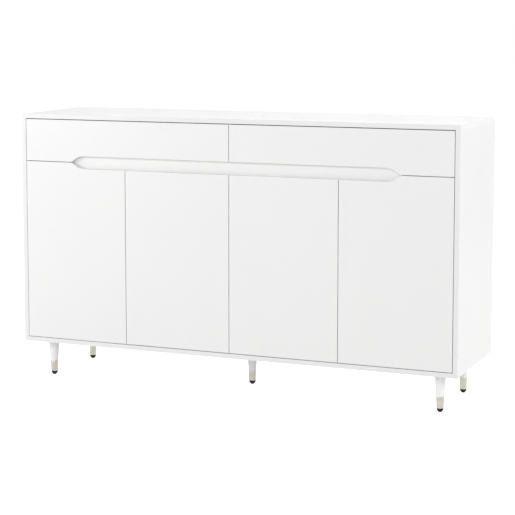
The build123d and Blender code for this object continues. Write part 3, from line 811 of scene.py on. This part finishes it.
def flange_ears(x, back, z, radius, half_height):
    """The two ears of a flange, over and under its cup, each as a pair of rings."""
    inner = math.sqrt((radius - FLANGE_LAP) ** 2 - (FLANGE_WIDTH / 2) ** 2)
    ears = []
    for sign in (-1, 1):
        low, high = sorted((z + sign * inner, z + sign * half_height))
        left, right = x - FLANGE_WIDTH / 2, x + FLANGE_WIDTH / 2
        outline = rounded_box_outline((left, low), (right, high), FLANGE_ROUND)
        ears.append(tuple(ring_at(outline, 1, back - level) for level in FLANGE_LEVELS))
    return ears


DOORS = [name for name in frame["bodies"] if name.endswith("_door")]
hinges = {}              # the place of each cup, by door
for door in DOORS:
    grids, flanges, hinges[door] = [], [], []
    for points in loose_parts(door + "_hinge_cups"):
        low, high = spans(points)
        (x, _, z), back = (low + high) / 2, high[1]
        hinges[door].append((x, back, z))
        radius = (high[0] - low[0]) / 2
        grids.append(turned_back(cup_outline(radius, low[1], back), x, z))
        for side in (-1, 1):
            seat = (x, back - FLANGE_SCREW_SINK, z + side * FLANGE_SCREW)
            grids.append(screw_grid(seat, (0, -1, 0), *FLANGE_SCREW_SIZE))
        flanges += flange_ears(x, back, z, radius, (high[2] - low[2]) / 2)
    carry(mesh_piece(door + "_pressed_cups", grids, 40), door, "zinc_steel", door + "_hinge_cups")
    ears = round_edges(prism(door + "_cup_flanges", flanges), FLANGE_EDGE, 3, 50)
    carry(ears, door, "zinc_steel")
print("hinges", {door: len(found) for door, found in hinges.items()})

# %% [markdown]
# ### Arms
# The arm stays on the box. Its body lies along the plate, its neck passes behind the door and its
# knuckle reaches into the cup. It could be folded from a strip with bones or a curve. Its side view
# is enough here, pushed through its width, with wide bevels where the sheet turns over.

# %% Arms
ARM_EDGE = 1.21 * MM
ARM_HEAD = 2.6 * MM
ARM_SCREW_LENGTH = 6 * MM
ARM_SCREW_SHANK = 1.6 * MM
ARM_SCREW_PROUD = 0.5 * MM
ARM_SCREW_STEP = 0.3 * MM            # the screws' rims stand this far off the arm
ARM_SCREWS = (22 * MM, 46 * MM)      # from the front of the arm's body
ARM_TAIL = 3 * MM
ARM_TAIL_RISE = 0.62                 # share of the arm's rise that is left at its tail
ARM_BENDS = (1.5, 0.6, 1, 3, 2.4, 3.5, 2.6, 2.6, 1.6)    # millimetres, at each corner in turn


def arm_outline(base, tip, back, cup_side, neck, rise, tail):
    """The arm's side view as (across, back): its body, its neck behind the door, its knuckle."""
    way = math.copysign(1, tip - base)
    top, inner = base + way * rise, tip - way * neck
    corners = [
        (base, back), (base, tail),
        (base + way * rise * ARM_TAIL_RISE, tail), (top, tail - 2 * ARM_TAIL),
        (top, back + neck), (tip, back + neck),
        (tip, cup_side), (inner, cup_side), (inner, back),
    ]
    return rounded_outline(corners, [bend * MM for bend in ARM_BENDS], 7)


for door in DOORS:
    slices, grids = [], []
    for points in loose_parts(door + "_hinge_arms"):
        low, high = spans(points)
        x_cup = min(hinges[door], key=lambda h: abs(h[2] - (low[2] + high[2]) / 2))[0]
        tip_is_high = abs(high[0] - x_cup) < abs(low[0] - x_cup)
        base, tip = (low[0], high[0]) if tip_is_high else (high[0], low[0])
        way = math.copysign(1, tip - base)
        neck = np.ptp(points[points[:, 1] < low[1] + SAME_LEVEL][:, 0])
        rise = np.ptp(points[points[:, 1] > high[1] - SAME_LEVEL][:, 0])
        crank = np.unique(np.round(points[:, 1], 6))[1]      # the second level back: the body's front
        outline = arm_outline(base, tip, crank, low[1], neck, rise, high[1])
        slices.append((ring_at(outline, 2, low[2]), ring_at(outline, 2, high[2])))
        for along in ARM_SCREWS:
            seat = (base + way * (rise + ARM_SCREW_STEP), crank + along, (low[2] + high[2]) / 2)
            size = (ARM_HEAD, ARM_SCREW_LENGTH, ARM_SCREW_SHANK)
            grids.append(screw_grid(seat, (-way, 0, 0), *size, proud=ARM_SCREW_PROUD))
    arms = round_edges(prism(door + "_folded_arms", slices, 40), ARM_EDGE, 4, 50)
    carry(arms, "cabinet", "zinc_steel", door + "_hinge_arms")
    carry(mesh_piece(door + "_arm_screws", grids, 30), "cabinet", "zinc_steel")

# %% [markdown]
# ## Bumpers
# Small clear pads on the rail stop the fronts from knocking. Each is a low dome with a flat middle. A
# squashed sphere would be round all over. A quarter circle with a power on it is flatter, and its
# turned dome has the crisp shoulder of a moulded pad.

# %% Clear pads
grids = []
for points in loose_parts("rail_bumpers"):
    low, high = spans(points)
    dome = dome_corner((high[0] - low[0]) / 2, high[1] - low[1], 12, power=3.2)
    outline = np.stack([dome[:, 0], high[1] - dome[:, 1]], -1)
    outline = np.concatenate([outline, [[0, high[1]]]])
    grids.append(turned_back(outline, (low[0] + high[0]) / 2, (low[2] + high[2]) / 2, 32))
carry(mesh_piece("domed_bumpers", grids, 50), "cabinet", "clear_bumper", "rail_bumpers")

# %% [markdown]
# ## Drawer runners
# A ball runner has three rolled members. Each is a strip whose long edges are curled round a row of
# balls: the outer one is screwed to the box, the inner one to the drawer, and the middle one floats
# between them. A bent strip could be a plane with a Solidify modifier. Its cut end is drawn with both
# of its faces here, so that the inner bend is tighter than the outer one by the sheet, as in rolling.

# %% Rolled members
SHEET = 1.2 * MM
ROLL_BEND = 2.2 * MM
CUT_ROUND = 0.4 * MM


def rolled_section(near, far, half, open_side, sheet=SHEET, bend=ROLL_BEND):
    """A channel's cut end as (across, up). Inner bends are tighter than outer ones by the sheet."""
    web, lips = (near, far) if open_side > 0 else (far, near)
    way = math.copysign(1, lips - web)
    outer = [(lips, -half), (web, -half), (web, half), (lips, half)]
    inner = [
        (lips, half - sheet), (web + way * sheet, half - sheet), (web + way * sheet, -half + sheet),
        (lips, -half + sheet),
    ]
    inside = bend - sheet
    radii = [CUT_ROUND, bend, bend, CUT_ROUND, CUT_ROUND, inside, inside, CUT_ROUND]
    return rounded_outline(outer + inner, radii, 6)


def member_piece(name, node, body):
    """Each channel of a node, remade with rolled corners: its web is where its points are thickest."""
    slices = []
    for points in loose_parts(node):
        low, high = spans(points)
        middle_z = (low[2] + high[2]) / 2
        inner_points = points[np.abs(points[:, 2] - middle_z) < (high[2] - low[2]) / 2 - 0.5 * SHEET]
        web_at = np.median(inner_points[:, 0])
        open_side = 1 if abs(web_at - low[0]) < abs(web_at - high[0]) else -1
        section = rolled_section(low[0], high[0], (high[2] - low[2]) / 2, open_side)
        section = section + np.array([0, middle_z])
        slices.append((ring_at(section, 1, low[1]), ring_at(section, 1, high[1])))
    return carry(prism(name, slices), body, "zinc_steel", node)


for side in ("left", "right"):
    riders = {"outer": "cabinet", "middle": side + "_runner_middles", "inner": side + "_drawer"}
    for member, body in riders.items():
        member_piece(f"{side}_rolled_{member}_runners", f"{side}_drawer_{member}_runners", body)

# %% [markdown]
# ### Balls and cages
# Two rows of balls roll above and two below, between one member and the next, and a thin cage keeps
# each row evenly spaced. They travel with the middle member. They show only with a drawer pulled out,
# so each ball is a small turned shape of a few rings. A particle system could place them, but then
# they wouldn't be plain meshes.

# %% The shapes of a row
BALL_RADIUS = 1.9 * MM
BALL_COUNT = 12
BALL_PITCH = 9 * MM
BALL_START = 25 * MM         # from the front of the middle member
CAGE_HALF = 0.25 * MM
CAGE_REACH = 1.75 * MM
CAGE_ROUND = 0.2 * MM


def ball_grid(centres, radius, rings=6, segments=10):
    """One small sphere at each centre, as rows of latitude."""
    t = np.linspace(0, math.pi, rings + 1)
    outline = np.stack([radius * np.sin(t), -radius * np.cos(t)], -1)
    ball, _, _ = lathe(outline, (0, 0), segments)
    return [(ball + centre, False, True) for centre in centres]


def cage_strip(x, y, level):
    """A cage as a pair of rings: a thin strip on edge, one pitch longer than its row at both ends."""
    low, high = (x - CAGE_HALF, level - CAGE_REACH), (x + CAGE_HALF, level + CAGE_REACH)
    strip = rounded_box_outline(low, high, CAGE_ROUND, 3)
    return ring_at(strip, 1, y[0] - BALL_PITCH), ring_at(strip, 1, y[-1] + BALL_PITCH)


print("a row of balls is", round((BALL_COUNT - 1) * BALL_PITCH / MM), "mm long")


# %% Balls
def runner_boxes(side, member):
    """The boxes of a drawer's two members of one kind, from left to right."""
    parts = loose_parts(f"{side}_drawer_{member}_runners")
    return [spans(part) for part in sorted(parts, key=lambda part: part[0, 0])]


def ball_track(around, within):
    """(x, z) of the upper row between two members: the middle of their overlap, and of their flanges."""
    x = (max(around[0][0], within[0][0]) + min(around[1][0], within[1][0])) / 2
    return x, (around[1][2] - SHEET + within[1][2]) / 2


for side in ("left", "right"):
    grids, cages = [], []
    members = zip(*(runner_boxes(side, member) for member in ("outer", "middle", "inner")))
    for outer, middle, inner in members:
        low, high = middle
        y = low[1] + BALL_START + BALL_PITCH * np.arange(BALL_COUNT)
        for x, z in (ball_track(outer, middle), ball_track(middle, inner)):
            for level in (z, low[2] + high[2] - z):
                grids += ball_grid(np.stack([x + 0 * y, y, level + 0 * y], -1), BALL_RADIUS)
                cages.append(cage_strip(x, y, level))
    carry(mesh_piece(side + "_runner_balls", grids, 60), side + "_runner_middles", "zinc_steel")
    carry(prism(side + "_ball_cages", cages), side + "_runner_middles", "zinc_steel")

# %% [markdown]
# ## Floor and light
# A white object on white wants flat light. One bright room would do it, but then the fronts would be
# as white as the room. So the room is even and dim, and white where it is seen, and so is the floor,
# as in a studio where the ground is lit for itself. A large panel beside the camera shines into the
# gaps and the finger recess, one from the left gives the fronts their slow fall-off to the right, one
# lifts the right-hand side, and one behind lifts the top and the back.

# %% The floor
FLOOR_GLOW = 0.30        # what the floor adds to the light on everything
FLOOR_SEEN = 0.5         # what it adds where it is looked at
FLOOR_HALF = 30          # metres


def seen_by_eye(tree, lit, seen, output):
    """Joins two shaders: lit for all light that bounces, seen for what is looked at directly."""
    either = tree.nodes.new("ShaderNodeMixShader")
    tree.links.new(tree.nodes.new("ShaderNodeLightPath").outputs["Is Camera Ray"], either.inputs["Fac"])
    tree.links.new(lit, either.inputs[1])
    tree.links.new(seen, either.inputs[2])
    tree.links.new(either.outputs[0], output.inputs["Surface"])


def make_floor():
    """A pale floor that carries on past the view, as one quad with a faint variation."""
    corners = np.array([[[-1, -1, 0], [1, -1, 0]], [[-1, 1, 0], [1, 1, 0]]], float)
    floor = mesh_piece("floor", [(corners * FLOOR_HALF, False, False)])
    finish = Finish("pale_floor", Emission_Color=(1, 1, 1, 1), Emission_Strength=FLOOR_GLOW)
    tree = finish.tree
    pale = finish.mix(finish.noise(1.2, 2), grey(0.50), grey(0.53))
    finish.paint(pale, finish.ramp(finish.noise(3), 0, 1, 0.8, 0.9))
    glow = finish.add("ShaderNodeEmission", Strength=FLOOR_SEEN)
    both = tree.nodes.new("ShaderNodeAddShader")
    tree.links.new(finish.shader.outputs[0], both.inputs[0])
    tree.links.new(glow.outputs[0], both.inputs[1])
    seen_by_eye(tree, finish.shader.outputs[0], both.outputs[0], tree.nodes["Material Output"])
    floor.data.materials.append(finish.material)
    return floor


print("floor", tuple(make_floor().dimensions))

# %% [markdown]
# ### Panels and room
# Each panel is a soft box: the larger it is and the nearer, the softer its light. Panels could be
# glowing planes, but lights are sampled better and can be left out of the picture.

# %% Lights
ROOM_STRENGTH = 0.48
PANELS = {               # place, target, size in metres, power in watts
    "fill": ((1.3, -5.2, 2.5), (0.0, 0.0, 0.5), (2.4, 1.8), 71),
    "key": ((-2.8, -2.6, 1.4), (-0.5, 0.0, 0.5), (2.0, 1.8), 39),
    "side": ((4.0, 0.2, 2.3), (0.75, 0.0, 0.5), (2.4, 1.8), 75),
    "back": ((-1.0, 2.8, 2.8), (0.0, 0.0, 0.7), (3.2, 1.6), 63),
}


def area_light(name, place, target, size, power):
    """A rectangular panel at place that faces target and isn't seen itself."""
    data = bpy.data.lights.new(name, "AREA")
    data.shape = "RECTANGLE"
    data.size, data.size_y = size
    data.energy = power
    light = bpy.data.objects.new(name, data)
    light.location = place
    light.rotation_euler = (Vector(target) - Vector(place)).to_track_quat("-Z", "Y").to_euler()
    light.visible_camera = False
    bpy.context.scene.collection.objects.link(light)
    return light


def room_light(strength):
    """A white room that lights things at the given strength."""
    world = bpy.data.worlds.new("room")
    world.use_nodes = True
    tree = world.node_tree
    lit = tree.nodes["Background"]
    seen = tree.nodes.new("ShaderNodeBackground")
    for background, level in ((lit, strength), (seen, 1.0)):
        background.inputs["Color"].default_value = (1, 1, 1, 1)
        background.inputs["Strength"].default_value = level
    seen_by_eye(tree, lit.outputs[0], seen.outputs[0], tree.nodes["World Output"])
    bpy.context.scene.world = world


room_light(ROOM_STRENGTH)
for name, (place, target, size, power) in PANELS.items():
    area_light(name, place, target, size, power)
bpy.context.scene.view_settings.view_transform = "Standard"
print("lights", sorted(PANELS))
